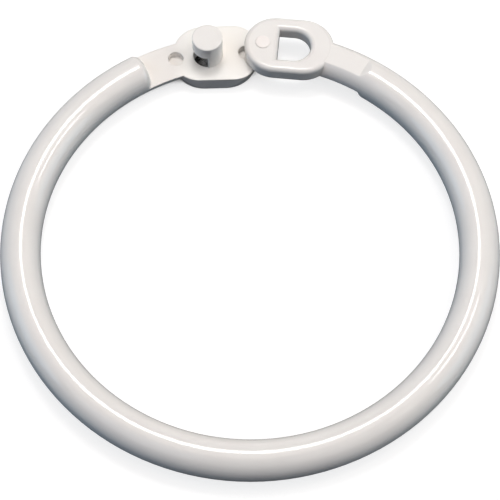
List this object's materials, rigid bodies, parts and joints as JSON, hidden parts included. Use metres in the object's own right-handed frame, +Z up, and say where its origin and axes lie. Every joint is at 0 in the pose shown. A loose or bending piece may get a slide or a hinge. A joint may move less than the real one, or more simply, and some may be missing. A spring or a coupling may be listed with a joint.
{
  "type": "binder ring",
  "caption": "Open round binder ring with half-lapped flat ends, a D-shaped eye and a slotted latch post, for holding punched sheets.",
  "frame": {"origin": "centre of the ring, on the plane the ring lies on (z = 0, the lowest line of the round bar)", "axes": "+Z up, square to the ring's plane, the way the latch post points; +Y from the ring's centre to the clasp; +X towards the end with the D-shaped eye"},
  "size_m": [0.0532, 0.0543, 0.0057],
  "materials": {
    "ring_plastic": "glossy bar, satin flats"
  },
  "bodies": {
    "root": {"binder_ring": "ring_plastic"}
  },
  "joints": []
}
